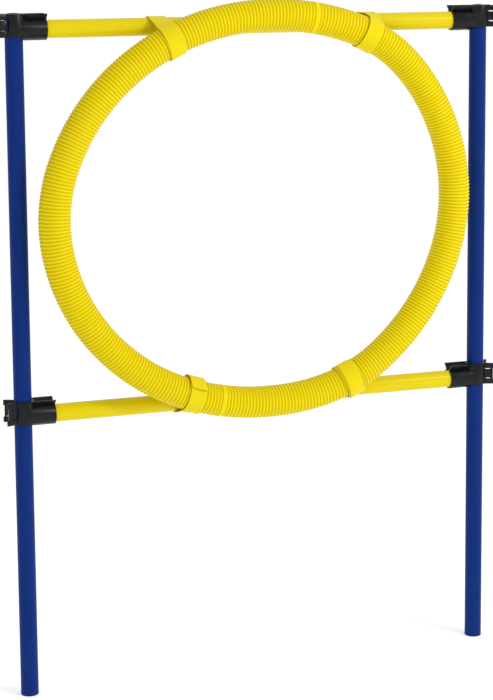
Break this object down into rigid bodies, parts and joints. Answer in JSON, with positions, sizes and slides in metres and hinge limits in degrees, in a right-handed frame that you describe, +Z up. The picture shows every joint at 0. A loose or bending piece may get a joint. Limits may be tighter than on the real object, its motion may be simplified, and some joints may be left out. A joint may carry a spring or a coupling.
{
  "type": "agility hurdle",
  "caption": "Dog agility hoop jump: round posts, crossbars in sliding snap clips and a corrugated hose hoop strapped to the bars.",
  "frame": {"origin": "on the ground, midway between the two posts' feet", "axes": "+X along the crossbars, +Z up the posts, the hoop hangs on the -Y side of the bars"},
  "size_m": [0.885, 0.0932, 1.1686],
  "materials": {
    "post_blue": "satin extruded tube",
    "bar_yellow": "semi-gloss extruded tube",
    "hose_yellow": "satin corrugated hose",
    "clip_black": "satin moulding",
    "cap_black": "satin moulding",
    "strap_yellow": "napped hook-and-loop tape"
  },
  "bodies": {
    "posts": {"post_left": "post_blue", "post_right": "post_blue", "post_top_cap_left": "cap_black", "post_top_cap_right": "cap_black", "post_foot_left": "cap_black", "post_foot_right": "cap_black"},
    "hoop_frame": {"crossbar_upper": "bar_yellow", "crossbar_lower": "bar_yellow", "crossbar_upper_plug_left": "cap_black", "crossbar_upper_plug_right": "cap_black", "crossbar_lower_plug_left": "cap_black", "crossbar_lower_plug_right": "cap_black", "clip_upper_left": "clip_black", "clip_upper_right": "clip_black", "clip_lower_left": "clip_black", "clip_lower_right": "clip_black", "hoop_hose_left": "hose_yellow", "hoop_hose_right": "hose_yellow", "hoop_coupler_upper": "hose_yellow", "hoop_coupler_lower": "hose_yellow", "strap_upper_left": "strap_yellow", "strap_upper_right": "strap_yellow", "strap_lower_left": "strap_yellow", "strap_lower_right": "strap_yellow"},
    "strap_upper_left_tail": {"strap_upper_left_tail": "strap_yellow"},
    "strap_upper_right_tail": {"strap_upper_right_tail": "strap_yellow"},
    "strap_lower_left_tail": {"strap_lower_left_tail": "strap_yellow"},
    "strap_lower_right_tail": {"strap_lower_right_tail": "strap_yellow"}
  },
  "joints": [
    {"name": "height_slide", "type": "slide", "parent": "posts", "child": "hoop_frame", "axis": [0, 0, 1], "range_m": [-0.42, 0]},
    {"name": "strap_upper_left_peel", "type": "hinge", "parent": "hoop_frame", "child": "strap_upper_left_tail", "pos_m": [-0.15711, -0.00524, 1.0969], "axis": [-0.987, 0.1304, -0.0942], "range_deg": [0, 120]},
    {"name": "strap_upper_right_peel", "type": "hinge", "parent": "hoop_frame", "child": "strap_upper_right_tail", "pos_m": [0.18402, -0.00636, 1.09765], "axis": [-0.9846, -0.1492, 0.0917], "range_deg": [0, 120]},
    {"name": "strap_lower_left_peel", "type": "hinge", "parent": "hoop_frame", "child": "strap_lower_left_tail", "pos_m": [-0.12625, -0.01094, 0.51626], "axis": [-0.9877, 0.1082, 0.1128], "range_deg": [0, 130]},
    {"name": "strap_lower_right_peel", "type": "hinge", "parent": "hoop_frame", "child": "strap_lower_right_tail", "pos_m": [0.16251, -0.04743, 0.48207], "axis": [0.8791, -0.2198, 0.423], "range_deg": [0, 110]}
  ]
}
